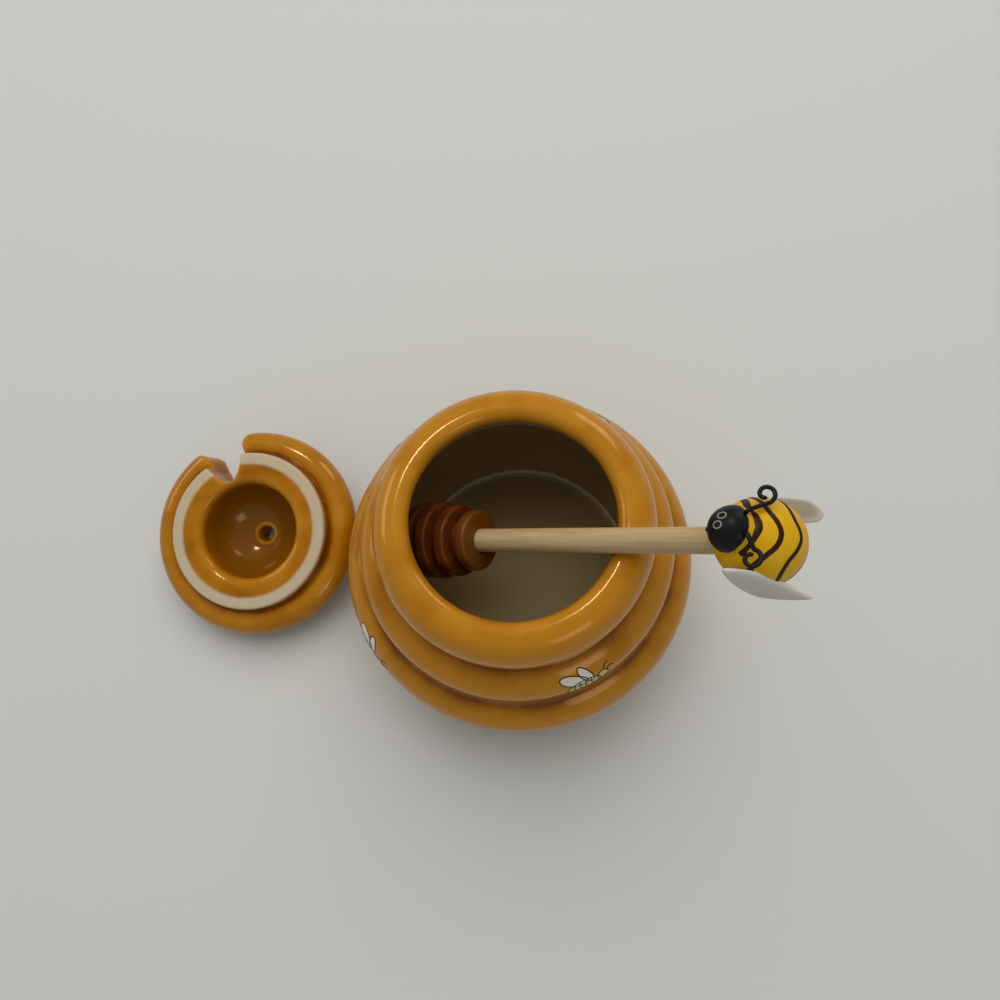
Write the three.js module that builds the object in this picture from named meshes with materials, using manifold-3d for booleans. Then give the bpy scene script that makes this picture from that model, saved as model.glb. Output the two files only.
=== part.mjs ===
// Beehive honey jar with its lid and honey dipper, millimetres, +Z up.
// The origin is the centre of the jar's flat foot. The lid lies upside down on the table at the jar's
// left, and the dipper stands in the open mouth with its stick across the lip and a bee on its end.
import * as THREE from 'three';
import { mergeVertices } from 'three/addons/utils/BufferGeometryUtils.js';
import Module from 'manifold-3d';

const wasm = await Module();
wasm.setup();

// Clearances and cuts
const touchGap = 0.3;
const cutOverrun = 2;
const weldDistance = 1e-5;
const edgeShare = 0.1;
const bulgeReach = THREE.MathUtils.degToRad(72);

// Jar: four stacked rings, the top one being the lip
const bellyRadius = 50;
const jarHeight = 71.5;
const footRadius = 38;
const footEdge = 1;
const jarWall = 4.2;
const floorThickness = 5;
const floorRadius = 34;
const mouthRadius = 25.7;
const lipCrestRadius = 28.8;
const lipRadius = 36;
const lipRoll = 3;
const throatFlare = 0.9;
const ringRadiusShares = [0.93, 1, 0.854];
const ringHeightShares = [0.21, 0.436, 0.671, 0.881];
const creaseRadiusShares = [0.884, 0.862, 0.69];
const creaseHeightShares = [0.322, 0.552, 0.776];
const wallGrowthShares = [1.4, 1.8, 1.2];
const jarSegments = 48;

// Lid: measured from the plane of its bare seat ring, which faces the jar when the lid is on
const mouthClearance = 0.9;
const collarRadius = mouthRadius - mouthClearance;
const seatWidth = 3.5;
const collarDrop = 5.2;
const rimRadius = 32.8;
const rimThickness = 10;
const rimDrop = 8.3;
const rimFrom = THREE.MathUtils.degToRad(-108);
const rimTo = THREE.MathUtils.degToRad(139.5);
const capRadius = 20.4;
const capThickness = 7.8;
const capDrop = 15.5;
const capFrom = THREE.MathUtils.degToRad(-85.5);
const capTo = THREE.MathUtils.degToRad(36);
const lidHeight = 22.8;
const crownRadius = 11;
const crownFrom = THREE.MathUtils.degToRad(-79);
const crownTo = THREE.MathUtils.degToRad(-38);
const hollowRadius = 15;
const hollowDepth = 15.6;
const hollowLipRadius = 2.6;
const bowlEnd = THREE.MathUtils.degToRad(-81);
const ventRadius = 1.75;
const notchWidth = 7.8;
const notchWall = 1.7;
const notchWideSide = 4.6;
const notchWideCorner = 4.5;
const notchWideInset = 7.2;
const notchSlantSide = 5.3;
const notchBendSide = 3.4;
const notchBendInset = 14.2;
const notchSlantInset = 8.4;
const notchTightCorner = 4.6;
const notchTightInset = 5.6;
const notchDepth = 14.2;
const notchLean = 2.4;
const notchLeanRun = 5.5;
const lidLeanAngle = THREE.MathUtils.degToRad(11.4);
const lidLeanAzimuth = THREE.MathUtils.degToRad(-100.5);
const notchAzimuth = THREE.MathUtils.degToRad(109.1);
const lidSpacing = 3.3;
const lidAzimuth = THREE.MathUtils.degToRad(172.8);
const lidSegments = 44;

// Dipper: a wooden dowel with a grooved head, lying across the lip
const stickDiameter = 6.05;
const stickElevation = THREE.MathUtils.degToRad(30);
const stickAzimuth = THREE.MathUtils.degToRad(-9.6);
const restAzimuth = THREE.MathUtils.degToRad(-16.5);
const beeReach = 28.7;
const headReachShare = 0.852;
const headReach = bellyRadius * headReachShare;
const headSocketDepth = 8;
const discPitchShare = 0.112;
const discPitch = bellyRadius * discPitchShare;
const discRadiusShares = [0.16, 0.192, 0.21, 0.204];
const discWidthShare = 0.61;
const discWidth = discPitch * discWidthShare;
const discEdge = 0.8;
const grooveRadius = 5.4;
const headEndRadius = 4.5;
const headEndLength = 1;
const stickSegments = 24;
const headSegments = 32;

// Bee: its own frame has +Z towards the head, +X out of the back and +Y to its left
const beeNodAngle = THREE.MathUtils.degToRad(63);
const beeBodyRadius = 9.3;
const beeBodyHalfLength = 10;
const beeTaperShare = -0.13;
const beeSocketDepth = 6;
const beeHeadRadius = 5.15;
const beeHeadRise = 0.8;
const beeHeadLead = 7.8;
const noseRadius = 0.7;
const noseDirectionShares = [-0.36, -0.18, 0.91];
const wingThickness = 1.2;
const leftWingFront = [0.5, 6.8, 8];
const leftWingTip = [3.5, 9.8, -15.8];
const leftWingDroop = THREE.MathUtils.degToRad(17);
const leftWingEdge = [
  [2, 0], [5, 1.2], [9, 2], [16.5, 2.8], [21.3, 2.8], [23.7, 1.6], [24.3, 0.2], [22.8, -1.6],
  [20.2, -2.6], [16, -3], [9, -2.4], [5, -1.4],
];
const rightWingFront = [1.2, -8.5, 9.4];
const rightWingTip = [3.2, -9.9, -13.2];
const rightWingDroop = THREE.MathUtils.degToRad(66);
const rightWingEdge = [
  [0, -0.8], [2.7, 0.9], [6.5, 1.9], [10.3, 2], [14.3, 1.8], [18.4, 1.5], [22, 1], [22.9, 0.3],
  [20.4, -1.5], [17.2, -3.2], [12.9, -4.7], [7.9, -4.5], [3.3, -3],
];
const antennaDiameter = 0.85;
const antennaStub = 1;
const nearbyShare = 3;
const leftAntennaShares = [0.83, 0.5, 0.2];
const rightAntennaShares = [0.9, -0.35, 0.25];
const leftCurlCentre = [7, 7.2, 5.9];
const rightCurlCentre = [7, -7, 8.6];
const curlTilt = THREE.MathUtils.degToRad(41);
const curlOuterRadius = 2.1;
const curlInnerRadius = 0.7;
const curlStart = THREE.MathUtils.degToRad(-80);
const curlTurns = 1.05;
const curlStepsPerTurn = 20;
const beeSegments = 28;

const quarter = Math.PI / 2;
const stickRadius = stickDiameter / 2;
const socketRadius = stickRadius + touchGap;

// Points along an elliptical arc in the section plane, as radius and height
function arc(radius, height, radiusAcross, radiusUp, from, to, steps) {
  const points = [];
  for (let i = 0; i <= steps; i += 1) {
    const angle = from + (to - from) * i / steps;
    points.push([radius + radiusAcross * Math.cos(angle), height + radiusUp * Math.sin(angle)]);
  }
  return points;
}

// A bulge from one crease to the next, round at its widest point and blunt at the creases
function bulge(lower, widest, upper, steps) {
  const points = [];
  for (let i = -steps; i <= steps; i += 1) {
    const angle = bulgeReach * i / steps;
    const crease = i < 0 ? lower : upper;
    const outward = (Math.cos(angle) - Math.cos(bulgeReach)) / (1 - Math.cos(bulgeReach));
    const along = Math.abs(Math.sin(angle)) / Math.sin(bulgeReach);
    points.push([
      crease[0] + (widest[0] - crease[0]) * outward,
      widest[1] + (crease[1] - widest[1]) * along,
    ]);
  }
  return points;
}

// A body of revolution about +Z
function turned(profile, segments) {
  const points = profile.map(([radius, height]) => new THREE.Vector2(radius, height));
  return new THREE.LatheGeometry(points, segments).rotateX(quarter);
}

function toSolid(geometry) {
  const bare = geometry.clone();
  bare.deleteAttribute('normal');
  bare.deleteAttribute('uv');
  const merged = mergeVertices(bare, weldDistance);
  const corners = merged.index.array;
  const kept = [];
  for (let i = 0; i < corners.length; i += 3) {
    const [a, b, c] = [corners[i], corners[i + 1], corners[i + 2]];
    if (a !== b && b !== c && c !== a) {
      kept.push(a, b, c);
    }
  }
  return new wasm.Manifold(new wasm.Mesh({
    numProp: 3,
    vertProperties: new Float32Array(merged.attributes.position.array),
    triVerts: new Uint32Array(kept),
  }));
}

function toGeometry(solid) {
  const mesh = solid.getMesh();
  const geometry = new THREE.BufferGeometry();
  geometry.setAttribute('position', new THREE.BufferAttribute(mesh.vertProperties, 3));
  geometry.setIndex(new THREE.BufferAttribute(mesh.triVerts, 1));
  geometry.computeVertexNormals();
  return geometry;
}

function piece(name, geometry, color, roughness) {
  const material = new THREE.MeshStandardMaterial({ color, roughness, metalness: 0 });
  const mesh = new THREE.Mesh(geometry, material);
  mesh.name = name;
  return mesh;
}

// The jar's outside from the foot's edge to the lip's crest
function jarOutside() {
  const ringHeights = ringHeightShares.map((share) => share * jarHeight);
  const creases = creaseRadiusShares.map((share, i) => [
    share * bellyRadius, creaseHeightShares[i] * jarHeight,
  ]);
  const foot = [footRadius, footEdge];
  const lower = [foot, ...creases];
  const widest = ringRadiusShares.map((share, i) => [share * bellyRadius, ringHeights[i]]);
  const rings = widest.flatMap((point, i) => bulge(lower[i], point, lower[i + 1], 4).slice(0, -1));
  const lipHeight = ringHeights[3];
  const lipUnder = bulge(creases[2], [lipRadius, lipHeight], creases[2], 3).slice(0, 4);
  const lipOver = arc(
    lipCrestRadius, lipHeight, lipRadius - lipCrestRadius, jarHeight - lipHeight, 0, quarter, 6);
  return [...rings, ...lipUnder, ...lipOver.slice(1)];
}

// The jar's inside from the throat below the mouth to the floor, softer than the outside
function jarInside() {
  const throat = jarHeight - lipRoll;
  const creases = creaseRadiusShares.map((share, i) => new THREE.Vector2(
    share * bellyRadius - jarWall, creaseHeightShares[i] * jarHeight));
  const [low, belly, waist] = ringRadiusShares.map((share, i) => new THREE.Vector2(
    share * bellyRadius - jarWall * wallGrowthShares[i], ringHeightShares[i] * jarHeight));
  const curve = new THREE.SplineCurve([
    new THREE.Vector2(mouthRadius, throat),
    new THREE.Vector2(mouthRadius + throatFlare, throat - lipRoll),
    creases[2], waist, creases[1], belly, creases[0], low,
    new THREE.Vector2(floorRadius, floorThickness),
  ]);
  return curve.getPoints(20).map((point) => [point.x, point.y]);
}

function makeJarBody() {
  const lipInside = arc(
    lipCrestRadius, jarHeight - lipRoll, lipCrestRadius - mouthRadius, lipRoll,
    quarter, 2 * quarter, 4);
  const profile = [
    [0, 0],
    [footRadius - footEdge, 0],
    ...jarOutside(),
    ...lipInside.slice(1),
    ...jarInside().slice(1),
    [0, floorThickness],
  ];
  return piece('jar_body', turned(profile, jarSegments), 0xc27d20, 0.22);
}

// The lid's section, closed round its vent, from the vent's outer edge over the outside and back in
function lidSection() {
  const crown = arc(
    0, crownRadius - lidHeight, crownRadius, crownRadius, crownFrom, crownTo, 3);
  const cap = arc(
    capRadius - capThickness / 2, -capDrop, capThickness / 2, capThickness / 2,
    capFrom, capTo, 6);
  const rim = arc(
    rimRadius - rimThickness / 2, -rimDrop, rimThickness / 2, rimThickness / 2,
    rimFrom, rimTo, 11);
  const seatEdge = seatWidth * edgeShare;
  const collar = [
    [collarRadius + seatEdge, -collarDrop],
    [collarRadius, -seatEdge],
    [collarRadius - seatEdge, 0],
    [collarRadius - seatWidth, 0],
  ];
  const hollowLip = arc(
    hollowRadius + hollowLipRadius, -hollowLipRadius, hollowLipRadius, hollowLipRadius,
    quarter, 2 * quarter, 4);
  const bowl = arc(
    0, -hollowLipRadius, hollowRadius, hollowDepth - hollowLipRadius, 0, bowlEnd, 8);
  const vent = [
    [ventRadius, -hollowDepth],
    [ventRadius, crown[0][1]],
  ];
  return [vent[1], ...crown, ...cap, ...rim, ...collar, ...hollowLip, ...bowl.slice(1), ...vent];
}

// The slot for the dipper's stick, in plan, running out along +X, slanted on its side towards -Y
function notchPlan() {
  const half = notchWidth / 2;
  const inner = hollowRadius + notchWall + half;
  const outer = rimRadius + cutOverrun;
  const tight = rimRadius - notchTightInset;
  const wide = rimRadius - notchWideInset;
  const plan = new THREE.Shape();
  plan.absarc(inner, 0, half, quarter, 2 * quarter, false);
  plan.quadraticCurveTo(
    rimRadius - notchBendInset, -notchBendSide, rimRadius - notchSlantInset, -notchSlantSide);
  plan.absarc(tight, -notchSlantSide - notchTightCorner, notchTightCorner, quarter, 0, true);
  plan.lineTo(outer, -notchSlantSide - notchTightCorner);
  plan.lineTo(outer, notchWideSide + notchWideCorner);
  plan.absarc(wide, notchWideSide + notchWideCorner, notchWideCorner, 0, -quarter, true);
  plan.closePath();
  return plan;
}

// The slot cut deep, with the side towards +Y leaning outwards towards the seat
function notchCut() {
  const cut = new THREE.ExtrudeGeometry(notchPlan(), {
    depth: notchDepth + cutOverrun, bevelEnabled: false, curveSegments: 6,
  });
  const innerEnd = hollowRadius + notchWall;
  const corners = cut.attributes.position;
  for (let i = 0; i < corners.count; i += 1) {
    if (corners.getY(i) > 0) {
      const share = THREE.MathUtils.clamp((corners.getX(i) - innerEnd) / notchLeanRun, 0, 1);
      const lean = notchLean * share * share * corners.getZ(i) / notchDepth;
      corners.setY(i, corners.getY(i) + lean);
    }
  }
  return cut.translate(0, 0, -notchDepth);
}

function makeLid() {
  const solid = toSolid(turned(lidSection(), lidSegments)).subtract(toSolid(notchCut()));
  const mesh = piece('lid', toGeometry(solid), 0xc27d20, 0.22);
  mesh.rotation.z = notchAzimuth;
  return mesh;
}

// Puts the lid on the table, leaning, with its lowest point at height 0
function placeLid(lid) {
  const group = new THREE.Group();
  const axis = new THREE.Vector3(-Math.sin(lidLeanAzimuth), Math.cos(lidLeanAzimuth), 0);
  group.quaternion.setFromAxisAngle(axis, lidLeanAngle);
  const distance = bellyRadius + lidSpacing + rimRadius;
  group.position.set(distance * Math.cos(lidAzimuth), distance * Math.sin(lidAzimuth), 0);
  group.add(lid);
  group.updateMatrixWorld(true);
  group.position.z = -new THREE.Box3().setFromObject(lid, true).min.z;
  return group;
}

function makeStick() {
  const beeEnd = beeReach - beeSocketBottom() - touchGap;
  const headEnd = -headReach - headSocketDepth + touchGap;
  const edge = stickRadius * edgeShare;
  const profile = [
    [0, headEnd],
    [stickRadius - edge, headEnd],
    [stickRadius, headEnd + edge],
    [stickRadius, beeEnd - edge],
    [stickRadius - edge, beeEnd],
    [0, beeEnd],
  ];
  return piece('dipper_stick', turned(profile, stickSegments), 0xb59a72, 0.65);
}

// Grooved head, from its far end up to the face that the stick enters
function makeDipperHead() {
  const discs = discRadiusShares.map((share, i) => {
    const radius = share * bellyRadius;
    const top = -headReach - discPitch * i;
    const bottom = top - discWidth;
    return [
      [grooveRadius, bottom],
      ...arc(radius - discEdge, bottom + discEdge, discEdge, discEdge, -quarter, 0, 2),
      ...arc(radius - discEdge, top - discEdge, discEdge, discEdge, 0, quarter, 2),
      [grooveRadius, top],
    ];
  }).reverse();
  const end = discs[0][0][1] - headEndLength;
  const profile = [
    [0, end],
    [headEndRadius, end],
    ...discs.flat().slice(0, -1),
    [socketRadius, -headReach],
    [socketRadius, -headReach - headSocketDepth],
    [0, -headReach - headSocketDepth],
  ];
  return piece('dipper_head', turned(profile, headSegments), 0x7a3d10, 0.3);
}

// The body's profile grown by a gap, an egg with its blunt end at the tail
function eggProfile(grown) {
  const steps = 14;
  const points = [];
  for (let i = 0; i <= steps; i += 1) {
    const angle = -quarter + 2 * quarter * i / steps;
    const taper = 1 + beeTaperShare * Math.sin(angle);
    const radius = i === 0 || i === steps ? 0 : (beeBodyRadius + grown) * Math.cos(angle) * taper;
    points.push([radius, (beeBodyHalfLength + grown) * Math.sin(angle)]);
  }
  return points;
}

// Distance from the body's centre to the bottom of the hole that takes the stick
function beeSocketBottom() {
  const across = Math.sin(beeNodAngle) / beeBodyRadius;
  const along = Math.cos(beeNodAngle) / beeBodyHalfLength;
  return 1 / Math.hypot(across, along) - beeSocketDepth;
}

function makeBeeBody() {
  const bottom = beeSocketBottom();
  const top = bottom + beeSocketDepth + beeBodyRadius;
  const hole = turned([[0, bottom], [socketRadius, bottom], [socketRadius, top], [0, top]],
    stickSegments);
  hole.rotateY(-beeNodAngle);
  const solid = toSolid(turned(eggProfile(0), beeSegments)).subtract(toSolid(hole));
  return piece('bee_body', toGeometry(solid), 0xd8aa08, 0.35);
}

function headCentre() {
  return new THREE.Vector3(beeHeadRise, 0, beeHeadLead);
}

function makeBeeHead() {
  const centre = headCentre();
  const ball = new THREE.SphereGeometry(beeHeadRadius, beeSegments, 14);
  ball.translate(centre.x, centre.y, centre.z);
  const nosePlace = new THREE.Vector3(...noseDirectionShares).setLength(beeHeadRadius).add(centre);
  const nose = new THREE.SphereGeometry(noseRadius, 10, 6);
  nose.translate(nosePlace.x, nosePlace.y, nosePlace.z);
  const seat = toSolid(turned(eggProfile(touchGap), beeSegments));
  const solid = toSolid(ball).add(toSolid(nose)).subtract(seat);
  return piece('bee_head', toGeometry(solid), 0x111111, 0.25);
}

// Petal outline in the wing's plane: x along the wing from front to tip, y across it
function wingPlan(edge) {
  const corners = edge.map(([along, across]) => new THREE.Vector3(along, across, 0));
  const outline = new THREE.CatmullRomCurve3(corners, true).getPoints(edge.length * 3);
  return new THREE.Shape(outline.slice(1).map((point) => new THREE.Vector2(point.x, point.y)));
}

// A flat wing glued beside the body, with side +1 for the left and -1 for the right
function makeWing(name, edge, frontPlace, tipPlace, side, droop) {
  const front = new THREE.Vector3(...frontPlace);
  const along = new THREE.Vector3(...tipPlace).sub(front).normalize();
  const facing = new THREE.Vector3(Math.cos(droop), Math.sin(droop) * side, 0);
  facing.addScaledVector(along, -facing.dot(along)).normalize();
  const across = new THREE.Vector3().crossVectors(facing, along);
  const place = new THREE.Matrix4().makeBasis(along, across, facing);
  place.setPosition(front);
  const flat = new THREE.ExtrudeGeometry(
    wingPlan(edge), { depth: wingThickness, bevelEnabled: false });
  flat.translate(0, 0, -wingThickness / 2);
  flat.applyMatrix4(place);
  const seat = toSolid(turned(eggProfile(touchGap), beeSegments)).add(headRoom());
  return piece(name, toGeometry(toSolid(flat).subtract(seat)), 0xd6d6d2, 0.5);
}

function headRoom() {
  const centre = headCentre();
  const ball = new THREE.SphereGeometry(beeHeadRadius + touchGap, beeSegments, 14);
  ball.translate(centre.x, centre.y, centre.z);
  return toSolid(ball);
}

// The wire's centre line: off the head along its own radius, then a flat curl that winds inwards
function antennaRoute(directionShares, curlCentre, side) {
  const direction = new THREE.Vector3(...directionShares).normalize();
  const centre = headCentre();
  const root = direction.clone().multiplyScalar(beeHeadRadius + touchGap).add(centre);
  const stub = direction.clone().multiplyScalar(beeHeadRadius + antennaStub).add(centre);
  const middle = new THREE.Vector3(...curlCentre);
  const across = new THREE.Vector3(Math.cos(curlTilt), 0, -Math.sin(curlTilt));
  const points = [root, stub];
  const steps = Math.round(curlTurns * curlStepsPerTurn);
  for (let i = 0; i <= steps; i += 1) {
    const share = i / steps;
    const radius = curlOuterRadius + (curlInnerRadius - curlOuterRadius) * share;
    const angle = curlStart + 4 * quarter * curlTurns * share;
    const point = middle.clone().addScaledVector(across, radius * Math.cos(angle));
    point.y += radius * Math.sin(angle) * side;
    points.push(point);
  }
  return points;
}

// The least free space between stretches of one wire that lie well apart along it
function leastSelfGap(points) {
  let least = Infinity;
  for (let i = 0; i < points.length; i += 1) {
    let along = 0;
    for (let j = i + 1; j < points.length; j += 1) {
      along += points[j].distanceTo(points[j - 1]);
      if (along > antennaDiameter * nearbyShare) {
        least = Math.min(least, points[i].distanceTo(points[j]) - antennaDiameter);
      }
    }
  }
  return least;
}

function makeAntenna(name, route) {
  console.log(`${name} least gap to itself ${leastSelfGap(route).toFixed(2)} mm`);
  const section = new THREE.Shape();
  const sides = 6;
  for (let i = 0; i < sides; i += 1) {
    const angle = 4 * quarter * i / sides;
    const point = [antennaDiameter / 2 * Math.cos(angle), antennaDiameter / 2 * Math.sin(angle)];
    if (i === 0) {
      section.moveTo(...point);
    } else {
      section.lineTo(...point);
    }
  }
  section.closePath();
  const wire = new THREE.ExtrudeGeometry(section, {
    steps: route.length + 4, extrudePath: new THREE.CatmullRomCurve3(route), bevelEnabled: false,
  });
  return piece(name, wire, 0x141210, 0.35);
}

// The bee sits on the stick's end, nodding back over the jar
function makeBee() {
  const bee = new THREE.Group();
  bee.position.z = beeReach;
  bee.rotation.y = beeNodAngle - 2 * quarter;
  bee.add(
    makeBeeBody(),
    makeBeeHead(),
    makeWing('bee_wing_left', leftWingEdge, leftWingFront, leftWingTip, 1, leftWingDroop),
    makeWing('bee_wing_right', rightWingEdge, rightWingFront, rightWingTip, -1, rightWingDroop),
    makeAntenna('bee_antenna_left', antennaRoute(leftAntennaShares, leftCurlCentre, 1)),
    makeAntenna('bee_antenna_right', antennaRoute(rightAntennaShares, rightCurlCentre, -1)),
  );
  return bee;
}

// The dipper's frame has +Z along the stick towards the bee, and its origin over the lip's crest
function makeDipper() {
  const dipper = new THREE.Group();
  const lift = (lipRoll + stickRadius + touchGap) / Math.cos(stickElevation) - lipRoll;
  dipper.position.set(
    lipCrestRadius * Math.cos(restAzimuth), lipCrestRadius * Math.sin(restAzimuth), jarHeight + lift);
  dipper.rotation.set(0, quarter - stickElevation, stickAzimuth, 'ZYX');
  dipper.add(makeStick(), makeDipperHead(), makeBee());
  return dipper;
}

const honeyJar = new THREE.Group();
honeyJar.add(makeJarBody(), placeLid(makeLid()), makeDipper());

export default honeyJar;
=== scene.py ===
# A beehive honey jar, its lid lying upside down beside it, and a bee-ended honey dipper in the jar.
# Sizes are millimetres until a piece is placed, which turns them into the frame's metres.
import math

import bmesh
import bpy
import numpy as np
from mathutils import Matrix, Vector


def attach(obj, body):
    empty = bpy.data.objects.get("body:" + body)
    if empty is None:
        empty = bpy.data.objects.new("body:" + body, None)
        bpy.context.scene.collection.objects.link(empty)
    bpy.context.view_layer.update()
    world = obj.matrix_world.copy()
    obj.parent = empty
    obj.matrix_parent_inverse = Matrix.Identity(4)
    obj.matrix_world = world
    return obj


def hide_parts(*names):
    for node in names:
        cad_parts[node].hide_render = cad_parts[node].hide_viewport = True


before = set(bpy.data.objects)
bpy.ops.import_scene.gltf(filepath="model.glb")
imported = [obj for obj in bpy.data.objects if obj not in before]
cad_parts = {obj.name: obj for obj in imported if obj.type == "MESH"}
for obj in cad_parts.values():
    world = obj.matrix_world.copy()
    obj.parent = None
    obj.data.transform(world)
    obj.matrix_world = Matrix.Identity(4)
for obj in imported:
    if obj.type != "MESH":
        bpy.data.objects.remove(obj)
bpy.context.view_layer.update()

MM_PER_METRE = 1000
MM = Matrix.Scale(1 / MM_PER_METRE, 4)
QUARTER = math.pi / 2
ON_AXIS = 1e-6
CORD_SIDES = 10
CORD_TIP_SHARE = 0.02

# The jar, four stacked rings with the lip on top
BELLY_RADIUS = 50
JAR_HEIGHT = 71.5
FOOT_RADIUS = 38
FOOT_EDGE = 1
JAR_WALL = 4.2
FLOOR_THICKNESS = 5
FLOOR_RADIUS = 34
MOUTH_RADIUS = 25.7
LIP_CREST_RADIUS = 28.8
LIP_RADIUS = 36
LIP_ROLL = 3
THROAT_FLARE = 0.9
RING_RADIUS_SHARES = (0.93, 1, 0.854)
RING_HEIGHT_SHARES = (0.21, 0.436, 0.671, 0.881)
CREASE_RADIUS_SHARES = (0.884, 0.862, 0.69)
CREASE_HEIGHT_SHARES = (0.322, 0.552, 0.776)
WALL_GROWTH_SHARES = (1.4, 1.8, 1.2)
BULGE_REACH = math.radians(72)
RING_STEPS = 24
LIP_STEPS = 16
ROLL_STEPS = 10
INSIDE_STEPS = 16
JAR_SEGMENTS = 192

# The glaze, which rounds off corners, runs thin on ridges and pools in creases
GLAZE_SPACING = 0.55
CREASE_SOFTNESS = 0.8
CREASE_DEPTH = 0.7
JAR_CREASE_REACH = 3
LID_CREASE_REACH = 2.2
# How far down the lid's bowl the glaze is painted darker, partly pooled glaze and partly painted shade, and
# how little of it falls on the vent's ridge
POOL_AND_SHADE_TOP = 2
POOL_AND_SHADE_FADE = 5
POOL_AND_SHADE_SLACK_ACROSS = 1
POOL_AND_SHADE_SLACK_DOWN = 1.5
VENT_RIDGE_INSIDE = 2.4
VENT_RIDGE_OUTSIDE = 3.9
VENT_RIDGE_SHARE = 0.1

# The lid, measured down from the plane of its bare seat ring
MOUTH_CLEARANCE = 0.9
COLLAR_RADIUS = MOUTH_RADIUS - MOUTH_CLEARANCE
SEAT_WIDTH = 3.5
SEAT_EDGE = 0.35
COLLAR_DROP = 5.2
RIM_RADIUS = 32.8
RIM_THICKNESS = 10
RIM_DROP = 8.3
CAP_RADIUS = 20.4
CAP_THICKNESS = 7.8
CAP_DROP = 15.5
LID_HEIGHT = 22.8
CROWN_RADIUS = 11
HOLLOW_RADIUS = 15
HOLLOW_DEPTH = 15.6
HOLLOW_LIP_RADIUS = 2.6
VENT_RADIUS = 1.75
# The vent's raised edge and bore: radius, and height over the bottom of the hollow
VENT_FUNNEL = ((4.1, 0.75), (3.5, 0.95), (2.95, 0.75), (2.5, 0.05), (2.1, -0.9), (1.75, -2))
VENT_STEPS = 6
# The round stretches of the section: start, end and steps of each
CROWN_ARC = (math.radians(-79), math.radians(-38), 14)
CAP_ARC = (math.radians(-85.5), math.radians(36), 24)
RIM_ARC = (math.radians(-108), math.radians(139.5), 40)
HOLLOW_LIP_ARC = (QUARTER, 2 * QUARTER, 12)
BOWL_ARC = (0, math.radians(-72), 30)
LID_SEGMENTS = 160
LID_GRAIN = 0.32
LID_ROUNDING = 0.5
LID_ROUNDING_PASSES = 14
LID_LEAN = math.radians(11.4)
LID_LEAN_AZIMUTH = math.radians(-100.5)
LID_SPACING = 3.3
LID_AZIMUTH = math.radians(172.8)

# The notch in the lid, with a wide side and a slanted side, each inset from the rim
NOTCH_AZIMUTH = math.radians(109.1)
NOTCH_WIDTH = 7.8
NOTCH_WALL = 1.7
NOTCH_DEPTH = 14.2
NOTCH_WIDE_SIDE = 4.6
NOTCH_WIDE_CORNER = 4.5
NOTCH_WIDE_INSET = 7.2
NOTCH_SLANT_SIDE = 5.3
NOTCH_SLANT_INSET = 8.4
NOTCH_BEND_SIDE = 3.4
NOTCH_BEND_INSET = 14.2
NOTCH_TIGHT_CORNER = 4.6
NOTCH_TIGHT_INSET = 5.6
NOTCH_FLARE = 5
NOTCH_LEAN = 2.4
NOTCH_LEAN_RUN = 5.5
NOTCH_OVERRUN = 2
NOTCH_HEADROOM = 3
NOTCH_END_STEPS = 8
NOTCH_STEPS = 10

# The dipper, whose frame has +Z along the stick towards the bee
STICK_RADIUS = 3.025
STICK_EDGE_SHARE = 0.1
STICK_SPACING = 0.6
STICK_SEGMENTS = 48
TOUCH_GAP = 0.3
STICK_ELEVATION = math.radians(30)
STICK_AZIMUTH = math.radians(-9.6)
REST_AZIMUTH = math.radians(-16.5)
HEAD_REACH = 42.6
BEE_REACH = 28.7
HEAD_SOCKET = 8
DISC_PITCH = 5.6
DISC_WIDTH = 3.416
DISC_RADII = (8, 9.6, 10.5, 10.2)
DISC_EDGE = 0.8
DISC_EDGE_STEPS = 6
GROOVE_RADIUS = 5.4
HEAD_END_RADIUS = 4.5
HEAD_END_LENGTH = 1
HEAD_SPACING = 0.2
HEAD_SOFTNESS = 0.22
HEAD_SEGMENTS = 96

# The bee, whose frame has +Z towards its head, +X out of its back and +Y to its left
BEE_NOD = math.radians(63)
BEE_RADIUS = 9.3
BEE_HALF_LENGTH = 10
BEE_TAPER = -0.13
BEE_SOCKET = 6
TRUNK_STEPS = 64
TRUNK_SEGMENTS = 96
BEE_HEAD_RADIUS = 5.15
BEE_HEAD_CENTRE = Vector((0.8, 0, 7.8))
BEE_HEAD_STEPS = 48
BEE_HEAD_SEGMENTS = 72
NOSE_DIRECTION = Vector((-0.36, -0.18, 0.91)).normalized()
NOSE_RADIUS = 0.7
NOSE_STEPS = 16
NOSE_SEGMENTS = 24
EYE_DIRECTIONS = (Vector((0.14, -0.08, 0.98)), Vector((0.27, 0.31, 0.91)))
EYE_WIDTH = 1.5
EYE_HALF_HEIGHT_SHARE = 0.62
EYE_LINE = 0.26
EYE_RELIEF = 0.1
EYE_STEPS = 28
NAPE_SHARE = 0.18
# Each stripe: its width, and knots of azimuth in degrees from the back and height
STRIPES = (
    (1.5, ((-64, 6.9), (-50, 7.3), (-22, 7), (0, 6.5), (18, 6.8), (40, 7.3), (65, 6.6), (92, 4.9))),
    (1.15, ((-112, 2.2), (-85, 3.6), (-58, 4.4), (-38, 3.9), (-22, 3), (-8, 2.6), (4, 2.9), (28, 4.3),
            (50, 4.5), (80, 3.8), (110, 2.4))),
    (1.05, ((-112, -5), (-90, -3.9), (-66, -2.3), (-50, -1.1), (-34, -0.8), (-20, -1.6), (-6, -2.3),
            (6, -2), (22, -0.8), (44, -0.7), (75, -1.6), (110, -3.4))),
    (0.95, ((-100, -6.6), (-60, -6.4), (-36, -7.3), (0, -7.8), (36, -7.3), (60, -6.6), (100, -6.6))),
)
STRIPE_RELIEF = 0.12
STRIPE_STEPS = 10
BEE_SLOPE_STEP = 0.05

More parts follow.
